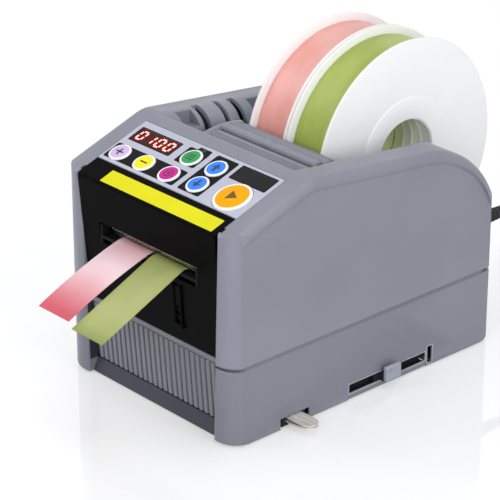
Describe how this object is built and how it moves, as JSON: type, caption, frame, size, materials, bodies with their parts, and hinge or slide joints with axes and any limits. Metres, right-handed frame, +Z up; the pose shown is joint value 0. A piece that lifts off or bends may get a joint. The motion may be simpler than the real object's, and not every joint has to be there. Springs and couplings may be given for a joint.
{
  "type": "electric tape dispenser",
  "caption": "Counter-top electric tape dispenser with a sloping key panel, a front outlet, a driven cutter and two loaded reels in an open rear bay.",
  "frame": {"origin": "on the table, at the middle of the flat underside of the base plate, under the middle of the housing", "axes": "+Z up, -Y towards the outlet at the front, +X to the side with the tweezers and the catch"},
  "size_m": [0.1666, 0.4048, 0.1775],
  "materials": {
    "housing_plastic": "fine-textured blue-grey moulded plastic",
    "dark_plastic": "dark grey moulded plastic",
    "black_plastic": "black plastic, slight gloss",
    "foot_rubber": "soft black rubber",
    "roller_rubber": "dark rubber roller surface",
    "bright_steel": "brushed steel",
    "zinc_steel": "zinc plated sheet steel",
    "bronze": "sintered bronze",
    "gear_plastic": "natural moulded gear plastic",
    "membrane_film": "pale lilac printed film",
    "lilac_key": "lilac cap with white rim",
    "yellow_key": "yellow cap with white rim",
    "magenta_key": "magenta cap with white rim",
    "green_key": "green cap with white rim",
    "blue_key": "blue cap with white rim",
    "orange_key": "orange cap with white rim",
    "red_lens": "dark red display lens",
    "smoke_lens": "black window lens",
    "display_body": "pale display housing",
    "circuit_board": "green lacquered circuit board",
    "reel_plastic": "milky white reel plastic",
    "pink_satin": "pink satin ribbon",
    "green_satin": "sage green satin ribbon",
    "rocker_red": "red rocker",
    "cord_black": "black cord sheath"
  },
  "bodies": {
    "housing": {"upper_housing": "housing_plastic", "lower_housing": "housing_plastic", "base_plate": "dark_plastic", "rubber_feet": "foot_rubber", "base_screws": "bright_steel", "front_cover": "black_plastic", "ribbed_panel": "housing_plastic", "front_sill": "dark_plastic", "membrane_panel": "membrane_film", "display_window": "red_lens", "side_window": "smoke_lens", "display_module": "display_body", "control_board": "circuit_board", "left_frame": "zinc_steel", "right_frame": "zinc_steel", "roller_bushes": "bronze", "feed_motor": "zinc_steel", "guide_rods": "bright_steel", "cutter_base": "zinc_steel", "return_springs": "bright_steel", "fixed_blade": "bright_steel", "cutter_motor": "zinc_steel", "outlet_guide": "black_plastic", "tape_sensor": "black_plastic", "left_lead": "pink_satin", "right_lead": "green_satin", "left_tail": "pink_satin", "right_tail": "green_satin", "side_rail": "black_plastic", "power_board": "circuit_board", "power_switch_frame": "black_plastic", "strain_relief": "cord_black", "power_cord": "cord_black", "cord_coil": "cord_black", "power_plug": "cord_black"},
    "plus_key": {"plus_button": "lilac_key"},
    "minus_key": {"minus_button": "yellow_key"},
    "select_key": {"select_button": "magenta_key"},
    "mode_key": {"mode_button": "green_key"},
    "up_key": {"up_button": "blue_key"},
    "down_key": {"down_button": "blue_key"},
    "start_key": {"start_button": "orange_key"},
    "cover": {"roller_cover": "housing_plastic"},
    "pinch": {"pinch_roller": "roller_rubber"},
    "feed": {"feed_shaft": "bright_steel", "feed_roller": "roller_rubber", "feed_gear": "gear_plastic"},
    "pinion": {"motor_pinion": "bronze"},
    "cam": {"cutter_cam": "gear_plastic"},
    "blade": {"moving_blade": "bright_steel", "blade_carrier": "dark_plastic"},
    "left_spool": {"left_reel": "reel_plastic", "left_roll": "pink_satin"},
    "right_spool": {"right_reel": "reel_plastic", "right_roll": "green_satin"},
    "front_roller": {"front_cradle_roller": "dark_plastic"},
    "rear_roller": {"rear_cradle_roller": "dark_plastic"},
    "catch": {"side_catch": "dark_plastic"},
    "tweezer_pair": {"tweezers": "bright_steel"},
    "rocker": {"power_rocker": "rocker_red"}
  },
  "joints": [
    {"name": "plus_press", "type": "slide", "parent": "housing", "child": "plus_key", "axis": [0, 0.3256, -0.9455], "range_m": [0, 0.001], "stiffness_N_per_m": 300, "springref_m": -0.0005},
    {"name": "minus_press", "type": "slide", "parent": "housing", "child": "minus_key", "axis": [0, 0.3256, -0.9455], "range_m": [0, 0.001], "stiffness_N_per_m": 300, "springref_m": -0.0005},
    {"name": "select_press", "type": "slide", "parent": "housing", "child": "select_key", "axis": [0, 0.3256, -0.9455], "range_m": [0, 0.001], "stiffness_N_per_m": 300, "springref_m": -0.0005},
    {"name": "mode_press", "type": "slide", "parent": "housing", "child": "mode_key", "axis": [0, 0.3256, -0.9455], "range_m": [0, 0.001], "stiffness_N_per_m": 300, "springref_m": -0.0005},
    {"name": "up_press", "type": "slide", "parent": "housing", "child": "up_key", "axis": [0, 0.3256, -0.9455], "range_m": [0, 0.001], "stiffness_N_per_m": 300, "springref_m": -0.0005},
    {"name": "down_press", "type": "slide", "parent": "housing", "child": "down_key", "axis": [0, 0.3256, -0.9455], "range_m": [0, 0.001], "stiffness_N_per_m": 300, "springref_m": -0.0005},
    {"name": "start_press", "type": "slide", "parent": "housing", "child": "start_key", "axis": [0, 0.3256, -0.9455], "range_m": [0, 0.001], "stiffness_N_per_m": 300, "springref_m": -0.0005},
    {"name": "cover_hinge", "type": "hinge", "parent": "housing", "child": "cover", "pos_m": [0, -0.034, 0.122], "axis": [1, 0, 0], "range_deg": [0, 65]},
    {"name": "pinch_spin", "type": "hinge", "parent": "cover", "child": "pinch", "pos_m": [0, -0.016, 0.1087], "axis": [1, 0, 0], "continuous": true},
    {"name": "feed_spin", "type": "hinge", "parent": "housing", "child": "feed", "pos_m": [0, -0.016, 0.0905], "axis": [1, 0, 0], "continuous": true},
    {"name": "pinion_spin", "type": "hinge", "parent": "housing", "child": "pinion", "pos_m": [0, -0.03297, 0.07353], "axis": [1, 0, 0], "continuous": true},
    {"name": "cam_turn", "type": "hinge", "parent": "housing", "child": "cam", "pos_m": [0, -0.0913, 0.0693], "axis": [0, -1, 0], "range_deg": [0, 270]},
    {"name": "blade_slide", "type": "slide", "parent": "housing", "child": "blade", "axis": [0, 0, -1], "range_m": [0, 0.0045], "stiffness_N_per_m": 400, "springref_m": -0.004, "deforming": ["return_springs"]},
    {"name": "left_reel_spin", "type": "hinge", "parent": "housing", "child": "left_spool", "pos_m": [0, 0.064, 0.111], "axis": [1, 0, 0], "continuous": true},
    {"name": "right_reel_spin", "type": "hinge", "parent": "housing", "child": "right_spool", "pos_m": [0, 0.064, 0.111], "axis": [1, 0, 0], "continuous": true},
    {"name": "front_roller_spin", "type": "hinge", "parent": "housing", "child": "front_roller", "pos_m": [0, 0.03366, 0.04593], "axis": [1, 0, 0], "continuous": true},
    {"name": "rear_roller_spin", "type": "hinge", "parent": "housing", "child": "rear_roller", "pos_m": [0, 0.09434, 0.04593], "axis": [1, 0, 0], "continuous": true},
    {"name": "catch_slide", "type": "slide", "parent": "housing", "child": "catch", "axis": [0, 1, 0], "range_m": [-0.018, 0.018]},
    {"name": "tweezer_pull", "type": "slide", "parent": "housing", "child": "tweezer_pair", "axis": [1, 0, 0], "range_m": [0, 0.03]},
    {"name": "rocker_tip", "type": "hinge", "parent": "housing", "child": "rocker", "pos_m": [0.052, 0.1, 0.026], "axis": [-1, 0, 0], "range_deg": [0, 12.5]}
  ],
  "couplings": [
    {"joint": "pinion_spin", "follows": "feed_spin", "ratio": -2.4286},
    {"joint": "pinch_spin", "follows": "feed_spin", "ratio": -1.4571},
    {"joint": "cam_turn", "follows": "blade_slide", "rad_per_m": 1047.1}
  ]
}
